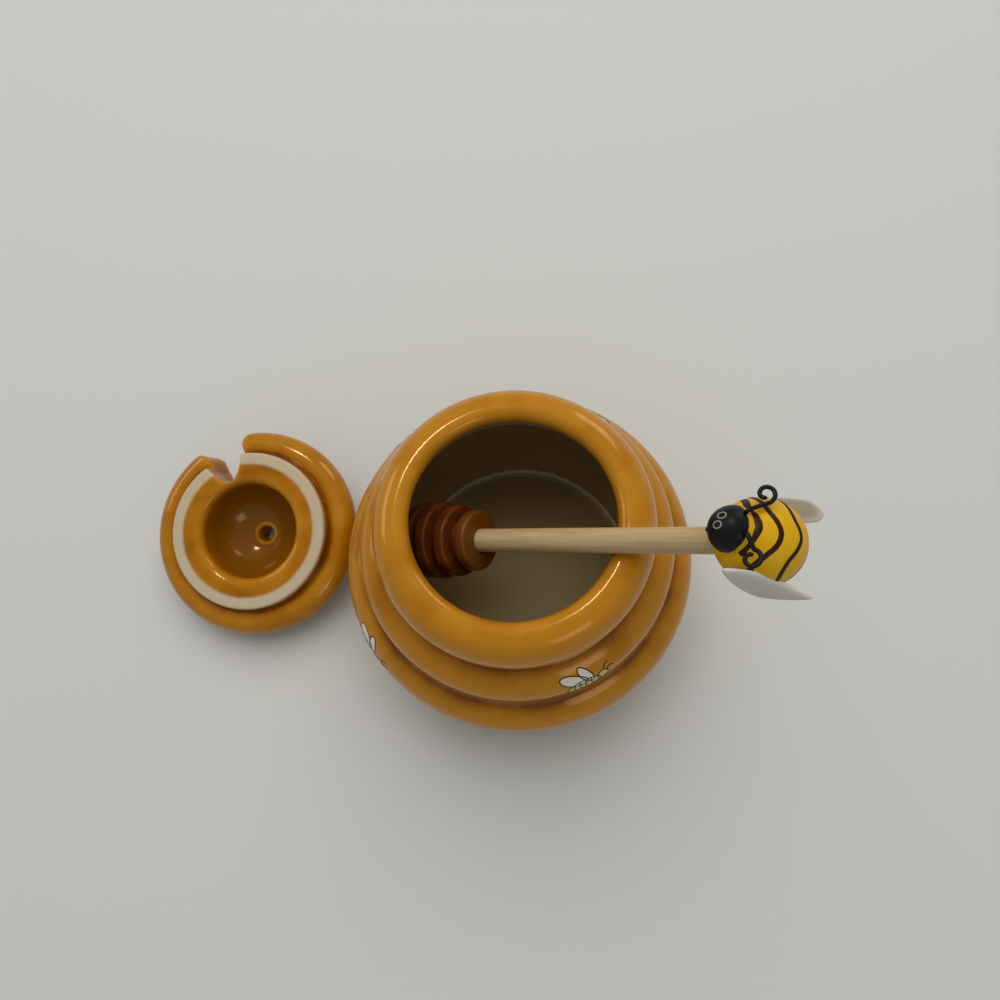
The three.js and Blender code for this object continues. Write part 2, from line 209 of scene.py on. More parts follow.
# The wings. Each has its front, its tip, its droop and its side, and an outline along and across it.
WING_THICKNESS = 1.2
WING_CUP = 0.5
WING_RINGS = 14
WING_STEPS = 8
WING_EDGE_POWER = 5
# How fast the painted highlight along each wing's edge fades in towards the rim
EDGE_HIGHLIGHT_POWER = 6
LEFT_WING = (Vector((0.5, 6.8, 8)), Vector((3.5, 9.8, -15.8)), math.radians(17), 1)
LEFT_WING_EDGE = ((2, 0), (5, 1.2), (9, 2), (16.5, 2.8), (21.3, 2.8), (23.7, 1.6), (24.3, 0.2),
                  (22.8, -1.6), (20.2, -2.6), (16, -3), (9, -2.4), (5, -1.4))
RIGHT_WING = (Vector((1.2, -8.5, 9.4)), Vector((3.2, -9.9, -13.2)), math.radians(66), -1)
RIGHT_WING_EDGE = ((0, -0.8), (2.7, 0.9), (6.5, 1.9), (10.3, 2), (14.3, 1.8), (18.4, 1.5), (22, 1),
                   (22.9, 0.3), (20.4, -1.5), (17.2, -3.2), (12.9, -4.7), (7.9, -4.5), (3.3, -3))

# The antennae, which leave the head straight and end in a flat curl
ANTENNA_RADIUS = 0.48
ANTENNA_ROOT = 0.2
ANTENNA_STUB = 1
ANTENNA_STEPS = 6
LEFT_ANTENNA = Vector((0.83, 0.5, 0.2))
RIGHT_ANTENNA = Vector((0.9, -0.35, 0.25))
LEFT_CURL = Vector((7, 7.2, 5.9))
RIGHT_CURL = Vector((7, -7, 8.6))
CURL_TILT = math.radians(41)
CURL_OUTER = 2.1
CURL_INNER = 0.7
CURL_START = math.radians(-80)
CURL_TURNS = 1.05
CURL_STEPS = 21

# Small bees printed on the glaze: azimuth in degrees, height, heading in degrees
PRINTED_BEES = ((-66, 49.3, 4), (-148, 31.8, 4), (57, 50, 6), (-18, 15, 12), (-105, 14, -20), (130, 30, 14),
                (75, 14, 165), (178, 13, 5))
PRINT_SIZE = 1.6
PRINT_LINE = 0.34
PRINT_LIFT = 0.06
PRINT_RINGS = 5
OVAL_STEPS = 30
PRINT_SIDES = 6
PRINT_STEPS = 6
PRINT_SLOPE_STEP = 0.4

# Colours and finishes that more than one material or paint uses
YELLOW = "D4A202"
BLACK = "0B0B0C"
WARM_GLINT = "FFD3A6"
GLAZE_ROUGHNESS = 0.13
ENAMEL_GLINT = 0.2
PRINT_ROUGHNESS = 0.3

# Sizes in the materials' patterns: clouds, fades, and how coarse and how wide the ragged edges are
GLAZE_CLOUD = 12.5
CLOUD_BALANCE = -0.46
SEAT_DROP = (1.6, 0.8)
SEAT_FADE = (0.5, 0.8)
SEAT_RAGGED_SIZE = 2
SEAT_RAGGED_REACH = 0.4
LINER_CLOUD = 20
FLOOR_LINE_RISE = 0.9
FLOOR_LINE_FADE = (0.25, 0.6)
FLOOR_LINE_RAGGED_SIZE = 2.857
FLOOR_LINE_RAGGED_REACH = 0.9
BEECH_GRAIN_RELIEF = 0.1
TURNED_RING = 0.769
NAPE_RAGGED_SIZE = 1.667
NAPE_RAGGED_REACH = 0.8
NAPE_BLUR = 0.12
# Marks in the wood: width across the grain and length along it
BEECH_GRAIN = (0.909, 13)
BEECH_FLECK = (0.2222, 1.3333)
STAINED_GRAIN = (4, 20)

# The camera, a phone held above the table
CAMERA_PLACE = Vector((7.5, -52.1, 245.3))
CAMERA_RIGHT = Vector((0.9982, 0, -0.0594))
CAMERA_DOWN = Vector((-0.0181, -0.9525, -0.3039))
CAMERA_FORWARD = Vector((-0.0565, 0.3045, -0.9508))
CAMERA_LENS = 27.04
CAMERA_SENSOR = 36

# The room, in metres and watts. Each lamp: its name, place, width, depth and power.
TABLE_REACH = 2
CAMERA_NEAR = 0.01
ROOM_STRENGTH = 0.48
LAMPS = (
    ("ceiling_lamp", (-0.2, 0.38, 0.87), 0.17, 0.09, 1.85),
    ("front_window", (0.42, -0.68, 0.62), 0.34, 0.3, 0.8),
    ("back_window", (0.45, 0.78, 0.55), 0.3, 0.4, 1.3),
    ("left_window", (-0.85, 0.35, 0.5), 0.5, 0.3, 1.4),
    ("bounced_light", (-0.01, 0.5, 1.0), 1.2, 1.2, 9.3),
)


# Shapes

def arc(radius, height, across, up, start, end, steps):
    """Points along an elliptical arc of the section, as radius and height."""
    angles = [start + (end - start) * i / steps for i in range(steps + 1)]
    return [(radius + across * math.cos(a), height + up * math.sin(a)) for a in angles]


def bulge(lower, widest, upper, steps):
    """One ring of the hive from crease to crease, round at its widest point."""
    points = []
    for i in range(-steps, steps + 1):
        angle = BULGE_REACH * i / steps
        crease = lower if i < 0 else upper
        outward = (math.cos(angle) - math.cos(BULGE_REACH)) / (1 - math.cos(BULGE_REACH))
        along = abs(math.sin(angle)) / math.sin(BULGE_REACH)
        points.append((crease[0] + (widest[0] - crease[0]) * outward,
                       widest[1] + (crease[1] - widest[1]) * along))
    return points


def through(points, steps):
    """A smooth line through points, with steps pieces between two of them."""
    knots = np.array([tuple(p) for p in points], float)
    ends = np.vstack([2 * knots[0] - knots[1], knots, 2 * knots[-1] - knots[-2]])
    line = []
    for i in range(len(knots) - 1):
        a, b, c, d = ends[i:i + 4]
        for t in np.arange(steps) / steps:
            line.append(0.5 * (2 * b + (c - a) * t + (2 * a - 5 * b + 4 * c - d) * t**2
                               + (3 * b - a - 3 * c + d) * t**3))
    line.append(knots[-1])
    return np.array(line)


def lengths(line):
    """How far along the line each of its points lies."""
    return np.concatenate([[0], np.cumsum(np.linalg.norm(np.diff(line, axis=0), axis=1))])


def even(line, spacing):
    """The line with its points spaced evenly."""
    line = np.array(line, float)
    along = lengths(line)
    marks = np.linspace(0, along[-1], max(2, round(along[-1] / spacing) + 1))
    return np.stack([np.interp(marks, along, line[:, k]) for k in range(line.shape[1])], 1)


def softened(line, spacing, softness):
    """The line with its corners rounded, as glaze rounds them. Its ends stay where they are."""
    line = even(line, spacing)
    first, last = line[0].copy(), line[-1].copy()
    for _ in range(round(2 * (softness / spacing) ** 2)):
        line[1:-1] = line[1:-1] / 2 + (line[:-2] + line[2:]) / 4
        line[0], line[-1] = first, last
    return line


def put_in_scene(name, data):
    """A new object that shows the data."""
    made = bpy.data.objects.new(name, data)
    bpy.context.scene.collection.objects.link(made)
    return made


def new_piece(name, points, faces, matrix):
    """A smooth-shaded mesh whose place is in its points. It keeps its own-frame places as an attribute."""
    mesh = bpy.data.meshes.new(name)
    mesh.from_pydata([tuple(p) for p in points], [], faces)
    mesh.update()
    mesh.shade_smooth()
    made = put_in_scene(name, mesh)
    settle(made, matrix)
    return made


def settle(made, matrix):
    """Notes each point's place in the piece's own frame, in millimetres, then moves the mesh into place."""
    mesh = made.data
    own = mesh.attributes.get("own_place") or mesh.attributes.new("own_place", "FLOAT_VECTOR", "POINT")
    places = np.zeros(len(mesh.vertices) * 3, np.float32)
    mesh.vertices.foreach_get("co", places)
    own.data.foreach_set("vector", places)
    mesh.transform(MM @ matrix)


def turned(name, section, segments, matrix=Matrix()):
    """A closed body of revolution about +Z, from a section that starts and ends on the axis."""
    points, rows = [], []
    for radius, height in [tuple(p) for p in section]:
        if radius < ON_AXIS:
            rows.append([len(points)] * segments)
            points.append((0, 0, height))
        else:
            rows.append([len(points) + k for k in range(segments)])
            for k in range(segments):
                angle = 2 * math.pi * k / segments
                points.append((radius * math.cos(angle), radius * math.sin(angle), height))
    faces = []
    for lower, upper in zip(rows, rows[1:]):
        for k in range(segments):
            corners = [lower[k], lower[(k + 1) % segments], upper[(k + 1) % segments], upper[k]]
            kept = list(dict.fromkeys(corners))
            if len(kept) > 2:
                faces.append(kept)
    return new_piece(name, points, faces, matrix)


def ball(name, radius, steps, segments, matrix):
    """A ball about the matrix's origin."""
    return turned(name, arc(0, 0, radius, radius, -QUARTER, QUARTER, steps), segments, matrix)


def swept(name, line, facing, half_width, half_height, matrix, closed=False, sides=CORD_SIDES):
    """A cord of oval section along a line, with blunt ends. facing gives the way up at each point."""
    line = np.array(line, float)
    facing = np.array(facing, float)
    count = len(line)
    if closed:
        ahead = np.roll(line, -1, 0) - np.roll(line, 1, 0)
        sizes = np.ones(count)
    else:
        ahead = np.gradient(line, axis=0)
        along = lengths(line)
        nearest = np.minimum(along, along[-1] - along) / half_width
        sizes = np.sqrt(np.clip(1 - (1 - np.clip(nearest, 0, 1)) ** 2, CORD_TIP_SHARE, 1))
    ahead /= np.linalg.norm(ahead, axis=1)[:, None]
    side = np.cross(facing, ahead)
    side /= np.linalg.norm(side, axis=1)[:, None]
    up = np.cross(ahead, side)
    points = []
    for i in range(count):
        for k in range(sides):
            angle = 2 * math.pi * k / sides
            points.append(line[i] + sizes[i] * (half_width * math.cos(angle) * side[i]
                                                + half_height * math.sin(angle) * up[i]))
    faces = []
    for i in range(count if closed else count - 1):
        for k in range(sides):
            a, b = i * sides, (i + 1) % count * sides
            faces.append((a + k, a + (k + 1) % sides, b + (k + 1) % sides, b + k))
    if not closed:
        faces.append(tuple(reversed(range(sides))))
        faces.append(tuple(range((count - 1) * sides, count * sides)))
    return new_piece(name, points, faces, matrix)


def face_outwards(mesh):
    """Turns every face of a closed mesh to look outwards."""
    built = bmesh.new()
    built.from_mesh(mesh)
    bmesh.ops.recalc_face_normals(built, faces=built.faces)
    built.to_mesh(mesh)
    built.free()


def join(pieces, name):
    """Several meshes as one piece."""
    built = bmesh.new()
    for one in pieces:
        built.from_mesh(one.data)
    mesh = bpy.data.meshes.new(name)
    built.to_mesh(mesh)
    built.free()
    mesh.shade_smooth()
    made = put_in_scene(name, mesh)
    for one in pieces:
        bpy.data.objects.remove(one)
    return made


def note_hollows(made, reach, depth):
    """Marks each point from 0 on a ridge to 1 in a crease, by how far it lies under its surroundings."""
    mesh = made.data
    count = len(mesh.vertices)
    places = np.zeros(count * 3)
    mesh.vertices.foreach_get("co", places)
    places = places.reshape(-1, 3) * MM_PER_METRE
    normals = np.zeros(count * 3)
    mesh.vertices.foreach_get("normal", normals)
    edges = np.zeros(len(mesh.edges) * 2, int)
    mesh.edges.foreach_get("vertices", edges)
    a, b = edges.reshape(-1, 2).T
    degree = np.bincount(a, minlength=count) + np.bincount(b, minlength=count)
    spacing = np.median(np.linalg.norm(places[a] - places[b], axis=1))
    spread = places.copy()
    for _ in range(round(2 * (reach / spacing) ** 2)):
        total = np.stack([np.bincount(a, spread[b, k], count) + np.bincount(b, spread[a, k], count)
                          for k in range(3)], 1)
        spread = (spread + total / degree[:, None]) / 2
    sunk = np.einsum("ij,ij->i", spread - places, normals.reshape(-1, 3))
    noted = mesh.attributes.new("hollow", "FLOAT", "POINT")
    noted.data.foreach_set("value", np.clip(0.5 + sunk / depth / 2, 0, 1).astype(np.float32))


def note_pool_and_shade(lid):
    """Marks how deep in the lid's bowl each point lies, from 0 at its lip to 1 where the glaze is painted
    darkest: partly glaze pooled there, partly painted shade in the bowl.
    """
    mesh = lid.data
    own = np.zeros(len(mesh.vertices) * 3, np.float32)
    mesh.attributes["own_place"].data.foreach_get("vector", own)
    x, y, z = own.reshape(-1, 3).T
    radius = np.hypot(x, y)
    bowl = -HOLLOW_LIP_RADIUS - (HOLLOW_DEPTH - HOLLOW_LIP_RADIUS) * np.sqrt(
        np.clip(1 - (radius / HOLLOW_RADIUS) ** 2, 0, 1))
    inside = (radius < HOLLOW_RADIUS + POOL_AND_SHADE_SLACK_ACROSS) & (z > bowl - POOL_AND_SHADE_SLACK_DOWN)
    off_ridge = (radius > VENT_RIDGE_OUTSIDE) | (radius < VENT_RIDGE_INSIDE)
    share = np.clip((-POOL_AND_SHADE_TOP - z) / POOL_AND_SHADE_FADE, 0, 1) * inside * np.where(off_ridge, 1, VENT_RIDGE_SHARE)
    noted = mesh.attributes.new("pool_and_shade", "FLOAT", "POINT")
    noted.data.foreach_set("value", share.astype(np.float32))


# Materials

def paint(code):
    """A colour written as sRGB hex, as the linear colour that a shader takes."""
    values = [int(code[i:i + 2], 16) / 255 for i in (0, 2, 4)]
    return tuple(v / 12.92 if v <= 0.04045 else ((v + 0.055) / 1.055) ** 2.4 for v in values) + (1,)


def add(tree, kind, inputs, **settings):
    """Adds a shader node with its settings. An input is a value or another node's output, and a mix
    node's two colours are its inputs 6 and 7."""
    made = tree.nodes.new("ShaderNode" + kind)
    for name, value in settings.items():
        setattr(made, name, value)
    for name, value in inputs.items():
        if isinstance(value, bpy.types.NodeSocket):
            tree.links.new(value, made.inputs[name])
        else:
            made.inputs[name].default_value = value
    return made


def material(name, roughness, glint=0.5):
    """A bare surface: the material, its node tree and its shader. glint is how strongly it reflects."""
    made = bpy.data.materials.new(name)
    made.use_nodes = True
    tree = made.node_tree
    shader = tree.nodes["Principled BSDF"]
    shader.inputs["Roughness"].default_value = roughness
    shader.inputs["Specular IOR Level"].default_value = glint
    return made, tree, shader


def along_grain(width, length):
    """The scale of marks that run along the wood's grain, which is the piece's own +Z."""
    return 1 / width, 1 / width, 1 / length


# Amber glaze over clay: glossy, golden where it runs thin on the ridges, brown where it pools in creases.
# The lid's seat ring is bare clay: pale and dull, with an uneven edge. Deep in the lid's bowl the glaze is
# painted darker: partly pooled glaze, partly painted shade.
def amber_glaze(name, bare_ring):
    made, tree, shader = material(name, GLAZE_ROUGHNESS)
    hollow = add(tree, "Attribute", {}, attribute_name="hollow")
    own = add(tree, "Attribute", {}, attribute_name="own_place").outputs["Vector"]
    cloud = add(tree, "TexNoise", {"Vector": own, "Scale": 1 / GLAZE_CLOUD, "Detail": 3.0})
    shifted = add(tree, "Math", {0: cloud.outputs["Fac"], 1: CLOUD_BALANCE}, operation="ADD")
    pooled = add(tree, "Math", {0: hollow.outputs["Fac"], 1: shifted.outputs[0]}, operation="ADD")
    depth = add(tree, "ValToRGB", {"Fac": pooled.outputs[0]})
    depth.color_ramp.elements[0].position = 0.2
    depth.color_ramp.elements[0].color = paint("B67A16")
    depth.color_ramp.elements[1].position = 0.85
    depth.color_ramp.elements[1].color = paint("723A00")
    middle = depth.color_ramp.elements.new(0.5)
    middle.color = paint("A46600")
    colour = depth.outputs["Color"]
    shader.inputs["Specular Tint"].default_value = paint(WARM_GLINT)
    if bare_ring:
        # Deep in the lid's bowl the glaze is painted darker: partly glaze pooled there, partly painted shade
        pool_and_shade = add(tree, "Attribute", {}, attribute_name="pool_and_shade")
        deep = add(tree, "Mix", {0: pool_and_shade.outputs["Fac"], 6: colour, 7: paint("784808")}, data_type="RGBA")
        split = add(tree, "SeparateXYZ", {"Vector": own})
        flat = add(tree, "CombineXYZ", {"X": split.outputs["X"], "Y": split.outputs["Y"]})
        radius = add(tree, "VectorMath", {0: flat.outputs[0]}, operation="LENGTH")
        ragged = add(tree, "TexNoise", {"Vector": own, "Scale": 1 / SEAT_RAGGED_SIZE, "Detail": 3.0})
        shift = add(tree, "Math", {0: ragged.outputs["Fac"], 1: SEAT_RAGGED_REACH,
                                   2: SEAT_WIDTH / 2 - COLLAR_RADIUS - SEAT_RAGGED_REACH / 2},
                    operation="MULTIPLY_ADD")
        off = add(tree, "Math", {0: radius.outputs["Value"], 1: shift.outputs[0]}, operation="ADD")
        away = add(tree, "Math", {0: off.outputs[0]}, operation="ABSOLUTE")
        within = add(tree, "MapRange", {"Value": away.outputs[0], "From Min": SEAT_WIDTH / 2 - SEAT_FADE[0],
                                        "From Max": SEAT_WIDTH / 2 + SEAT_FADE[1], "To Min": 1.0,
                                        "To Max": 0.0}, interpolation_type="SMOOTHSTEP")
        top = add(tree, "MapRange", {"Value": split.outputs["Z"], "From Min": -SEAT_DROP[0],
                                     "From Max": -SEAT_DROP[1]})
        bare = add(tree, "Math", {0: within.outputs[0], 1: top.outputs[0]}, operation="MULTIPLY")
        seat = add(tree, "Mix", {0: bare.outputs[0], 6: deep.outputs[2], 7: paint("BCAE94")},
                   data_type="RGBA")
        colour = seat.outputs[2]
        dull = add(tree, "MapRange", {"Value": bare.outputs[0], "To Min": GLAZE_ROUGHNESS, "To Max": 0.6})
        tree.links.new(dull.outputs[0], shader.inputs["Roughness"])
    tree.links.new(colour, shader.inputs["Base Color"])
    return made


# Cream liner glaze: satin, a warm dim white inside the jar, palest in an uneven line round the floor
def cream_glaze():
    made, tree, shader = material("cream_liner_glaze", 0.3, 0.3)
    own = add(tree, "Attribute", {}, attribute_name="own_place").outputs["Vector"]
    cloud = add(tree, "TexNoise", {"Vector": own, "Scale": 1 / LINER_CLOUD, "Detail": 2.0})
    tone = add(tree, "Mix", {0: cloud.outputs["Fac"], 6: paint("A99163"), 7: paint("9C8457")},
               data_type="RGBA")
    height = add(tree, "SeparateXYZ", {"Vector": own}).outputs["Z"]
    ragged = add(tree, "TexNoise", {"Vector": own, "Scale": 1 / FLOOR_LINE_RAGGED_SIZE, "Detail": 4.0})
    shift = add(tree, "Math", {0: ragged.outputs["Fac"], 1: FLOOR_LINE_RAGGED_REACH,
                               2: -FLOOR_LINE_RAGGED_REACH / 2 - FLOOR_THICKNESS - FLOOR_LINE_RISE},
                operation="MULTIPLY_ADD")
    off = add(tree, "Math", {0: height, 1: shift.outputs[0]}, operation="ADD")
    away = add(tree, "Math", {0: off.outputs[0]}, operation="ABSOLUTE")
    line = add(tree, "MapRange", {"Value": away.outputs[0], "From Min": FLOOR_LINE_FADE[0],
                                  "From Max": FLOOR_LINE_FADE[1], "To Min": 0.75, "To Max": 0.0})
    lined = add(tree, "Mix", {0: line.outputs[0], 6: tone.outputs[2], 7: paint("F2E8D2")}, data_type="RGBA")
    tree.links.new(lined.outputs[2], shader.inputs["Base Color"])
    return made


# Sanded beech: pale, matt, with faint long grain and a few short dark flecks
def bare_wood():
    made, tree, shader = material("sanded_beech", 0.6)
    own = add(tree, "Attribute", {}, attribute_name="own_place").outputs["Vector"]
    long_way = add(tree, "Mapping", {"Vector": own, "Scale": along_grain(*BEECH_GRAIN)})
    grain = add(tree, "TexNoise", {"Vector": long_way.outputs[0], "Scale": 1.0, "Detail": 4.0})
    tone = add(tree, "ValToRGB", {"Fac": grain.outputs["Fac"]})
    tone.color_ramp.elements[0].position = 0.3
    tone.color_ramp.elements[0].color = paint("A68C62")
    tone.color_ramp.elements[1].position = 0.7
    tone.color_ramp.elements[1].color = paint("BCA37A")
    fleck_way = add(tree, "Mapping", {"Vector": own, "Scale": along_grain(*BEECH_FLECK)})
    fleck = add(tree, "TexNoise", {"Vector": fleck_way.outputs[0], "Scale": 1.0, "Detail": 1.0})
    marks = add(tree, "MapRange", {"Value": fleck.outputs["Fac"], "From Min": 0.66,
                                   "From Max": 0.74, "To Max": 0.3})
    flecked = add(tree, "Mix", {0: marks.outputs[0], 6: tone.outputs["Color"], 7: paint("7C6240")},
                  data_type="RGBA")
    tree.links.new(flecked.outputs[2], shader.inputs["Base Color"])
    raised = add(tree, "Bump", {"Height": grain.outputs["Fac"], "Strength": 0.2,
                                "Distance": BEECH_GRAIN_RELIEF / MM_PER_METRE})
    tree.links.new(raised.outputs[0], shader.inputs["Normal"])
    return made


# Varnished stained wood: deep red brown under a worn gloss. The cut face shows soft turned rings, painted
# paler: the rings are the wood's, the paleness a painted sheen.
def stained_wood():
    made, tree, shader = material("varnished_stained_wood", 0.32, 0.4)
    own = add(tree, "Attribute", {}, attribute_name="own_place").outputs["Vector"]
    long_way = add(tree, "Mapping", {"Vector": own, "Scale": along_grain(*STAINED_GRAIN)})
    grain = add(tree, "TexNoise", {"Vector": long_way.outputs[0], "Scale": 1.0, "Detail": 2.0})
    tone = add(tree, "ValToRGB", {"Fac": grain.outputs["Fac"]})
    tone.color_ramp.elements[0].position = 0.3
    tone.color_ramp.elements[0].color = paint("50220A")
    tone.color_ramp.elements[1].position = 0.75
    tone.color_ramp.elements[1].color = paint("743A0C")
    split = add(tree, "SeparateXYZ", {"Vector": own})
    flat = add(tree, "CombineXYZ", {"X": split.outputs["X"], "Y": split.outputs["Y"]})
    radius = add(tree, "VectorMath", {0: flat.outputs[0]}, operation="LENGTH")
    spread = add(tree, "CombineXYZ", {"X": radius.outputs["Value"]})
    rings = add(tree, "TexNoise", {"Vector": spread.outputs[0], "Scale": 1 / TURNED_RING, "Detail": 2.0})
    # The front disc's cut face: a painted sheen, paler in the wood's soft turned rings
    cut_face = add(tree, "MapRange", {"Value": split.outputs["Z"], "From Min": -HEAD_REACH - DISC_PITCH / 2,
                                      "From Max": -HEAD_REACH - DISC_WIDTH / 2})
    face_sheen_and_rings = add(tree, "Math", {0: cut_face.outputs[0], 1: rings.outputs["Fac"]}, operation="MULTIPLY")
    shown = add(tree, "Mix", {0: face_sheen_and_rings.outputs[0], 6: tone.outputs["Color"], 7: paint("70460F")},
                data_type="RGBA")
    tree.links.new(shown.outputs[2], shader.inputs["Base Color"])
    shader.inputs["Specular Tint"].default_value = paint(WARM_GLINT)
    return made


# Enamel paint: one plain colour with a satin skin
def enamel(name, code, roughness):
    made, _, shader = material(name, roughness, ENAMEL_GLINT)
    shader.inputs["Base Color"].default_value = paint(code)
    return made


# The head's two enamels: black over the face, running out raggedly into the body's yellow on the nape
def face_enamel():
    made, tree, shader = material("black_and_yellow_enamel", 0.4, ENAMEL_GLINT)
    own = add(tree, "Attribute", {}, attribute_name="own_place").outputs["Vector"]
    height = add(tree, "SeparateXYZ", {"Vector": own}).outputs["Z"]
    ragged = add(tree, "TexNoise", {"Vector": own, "Scale": 1 / NAPE_RAGGED_SIZE, "Detail": 2.0})
    shifted = add(tree, "Math", {0: ragged.outputs["Fac"], 1: NAPE_RAGGED_REACH, 2: height},
                  operation="MULTIPLY_ADD")
    edge = NAPE_SHARE * BEE_HEAD_RADIUS + NAPE_RAGGED_REACH / 2
    front = add(tree, "MapRange", {"Value": shifted.outputs[0], "From Min": edge - NAPE_BLUR,
                                   "From Max": edge + NAPE_BLUR})
    tone = add(tree, "Mix", {0: front.outputs[0], 6: paint(YELLOW), 7: paint(BLACK)}, data_type="RGBA")
    tree.links.new(tone.outputs[2], shader.inputs["Base Color"])
    return made


# White enamel on a wing: chalky, with a painted highlight that makes it palest towards the wing's edge
def wing_enamel(name, code):
    made, tree, shader = material(name, 0.5, ENAMEL_GLINT)
    edge = add(tree, "Attribute", {}, attribute_name="edge")
    # A painted highlight: paler towards the wing's edge
    tone = add(tree, "Mix", {0: edge.outputs["Fac"], 6: paint(code), 7: paint("DAD8D0")}, data_type="RGBA")
    tree.links.new(tone.outputs[2], shader.inputs["Base Color"])
    return made


# Matt white laminate: an even pale grey that shows only the shadows
def table_laminate():
    made, _, shader = material("table_laminate", 0.9)
    shader.inputs["Base Color"].default_value = paint("CBCCC9")
    return made


# Jar

def jar_outside():
    """The section from the foot's edge up over the rings to the top of the lip."""
    heights = [share * JAR_HEIGHT for share in RING_HEIGHT_SHARES]
    creases = [(radius * BELLY_RADIUS, height * JAR_HEIGHT)
               for radius, height in zip(CREASE_RADIUS_SHARES, CREASE_HEIGHT_SHARES)]
    lower = [(FOOT_RADIUS, FOOT_EDGE), *creases]
    points = []
    for i, share in enumerate(RING_RADIUS_SHARES):
        points += bulge(lower[i], (share * BELLY_RADIUS, heights[i]), lower[i + 1], RING_STEPS)[:-1]
    points += bulge(lower[-1], (LIP_RADIUS, heights[-1]), lower[-1], LIP_STEPS)[:LIP_STEPS + 1]
    points += arc(LIP_CREST_RADIUS, heights[-1], LIP_RADIUS - LIP_CREST_RADIUS, JAR_HEIGHT - heights[-1],
                  0, QUARTER, RING_STEPS)[1:]
    return points


def jar_inside():
    """The section from the throat down the wall to the edge of the floor."""
    throat = JAR_HEIGHT - LIP_ROLL
    shoulder = (CREASE_RADIUS_SHARES[-1] * BELLY_RADIUS - JAR_WALL, CREASE_HEIGHT_SHARES[-1] * JAR_HEIGHT)
    low, belly, _ = [(share * BELLY_RADIUS - JAR_WALL * growth, height * JAR_HEIGHT) for share, growth, height
                     in zip(RING_RADIUS_SHARES, WALL_GROWTH_SHARES, RING_HEIGHT_SHARES)]
    return through([(MOUTH_RADIUS, throat), (MOUTH_RADIUS + THROAT_FLARE, throat - LIP_ROLL), shoulder,
                    belly, low, (FLOOR_RADIUS, FLOOR_THICKNESS)], INSIDE_STEPS)


def make_jar():
    """Makes the jar and gives back the section of its outside."""
    outside = softened([(FOOT_RADIUS - FOOT_EDGE, 0)] + jar_outside(), GLAZE_SPACING, CREASE_SOFTNESS)
    lip_inside = arc(LIP_CREST_RADIUS, JAR_HEIGHT - LIP_ROLL, LIP_CREST_RADIUS - MOUTH_RADIUS, LIP_ROLL,
                     QUARTER, 2 * QUARTER, ROLL_STEPS)
    inside = softened(list(jar_inside()) + [(0, FLOOR_THICKNESS)], GLAZE_SPACING, CREASE_SOFTNESS)
    jar = turned("jar_pot", [(0, 0), *outside, *lip_inside[1:], *inside[1:]], JAR_SEGMENTS)
    note_hollows(jar, JAR_CREASE_REACH, CREASE_DEPTH)
    jar.data.materials.append(amber_glaze("amber_glaze", False))
    jar.data.materials.append(cream_glaze())
    liner_row = len(outside) + len(lip_inside) + 1
    for face in jar.data.polygons[liner_row * JAR_SEGMENTS:]:
        face.material_index = 1
    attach(jar, "jar")
    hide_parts("jar_body")
    return outside


# Printed bees

def oval(across, up, wide, tall, turn):
    """A closed oval of the drawing, turned by an angle in degrees."""
    c, s = math.cos(math.radians(turn)), math.sin(math.radians(turn))
    angles = [2 * math.pi * i / OVAL_STEPS for i in range(OVAL_STEPS)]
    places = [(wide * math.cos(a), tall * math.sin(a)) for a in angles]
    return [(across + c * x - s * y, up + s * x + c * y) for x, y in places]


# The drawing of one bee: closed outlines with a white or straw fill, and bare pen strokes
BEE_OUTLINES = (
    ("straw", oval(0, 0, 2.9, 1.45, 0)),
    ("straw", oval(3.5, 0.35, 0.95, 0.95, 0)),
    ("white", oval(-1.3, 2.1, 2.5, 1.05, 152)),
    ("white", oval(0.9, 2.3, 1.9, 0.85, 115)),
)
BEE_STROKES = (
    ((-1.5, -1.15), (-1.75, 0), (-1.5, 1.15)), ((-0.5, -1.4), (-0.75, 0), (-0.5, 1.4)),
    ((0.5, -1.4), (0.25, 0), (0.5, 1.4)), ((1.5, -1.2), (1.3, 0), (1.5, 1.2)),
    ((3.8, 1.2), (4.4, 2.1), (5.3, 2.3)), ((4.2, 0.9), (5.1, 1.3), (5.7, 0.9)),
)


def on_jar(skin, print_at, place):
    """Where a point of the drawing falls on the jar's skin, and the way out of the skin there."""
    azimuth, height, heading = print_at
    along = lengths(skin)
    row = int(np.argmin(np.abs(skin[:, 1] - height)))
    c, s = PRINT_SIZE * math.cos(math.radians(heading)), PRINT_SIZE * math.sin(math.radians(heading))
    x, y = c * place[0] - s * place[1], s * place[0] + c * place[1]
    mark = along[row] + y
    radius, up = (np.interp(mark, along, skin[:, k]) for k in (0, 1))
    widening, rising = (np.interp(mark + PRINT_SLOPE_STEP, along, skin[:, k])
                        - np.interp(mark - PRINT_SLOPE_STEP, along, skin[:, k]) for k in (0, 1))
    angle = math.radians(azimuth) + x / skin[row, 0]
    outward = Vector((rising * math.cos(angle), rising * math.sin(angle), -widening)).normalized()
    return Vector((radius * math.cos(angle), radius * math.sin(angle), up)), outward


def print_fill(skin, print_at, outline):
    """A thin patch of paint inside an outline, following the skin."""
    middle = np.mean(outline, 0)
    spots = [middle + (np.array(corner) - middle) * i / PRINT_RINGS
             for i in range(1, PRINT_RINGS + 1) for corner in outline]
    points = []
    for spot in [*spots, middle]:
        place, outward = on_jar(skin, print_at, spot)
        points.append(place + outward * PRINT_LIFT / 2)
    count = len(outline)
    faces = []
    for i in range(PRINT_RINGS - 1):
        for k in range(count):
            a, b = i * count, (i + 1) * count
            faces.append((a + k, a + (k + 1) % count, b + (k + 1) % count, b + k))
    faces += [((k + 1) % count, k, len(points) - 1) for k in range(count)]
    return new_piece("fill", points, faces, Matrix())


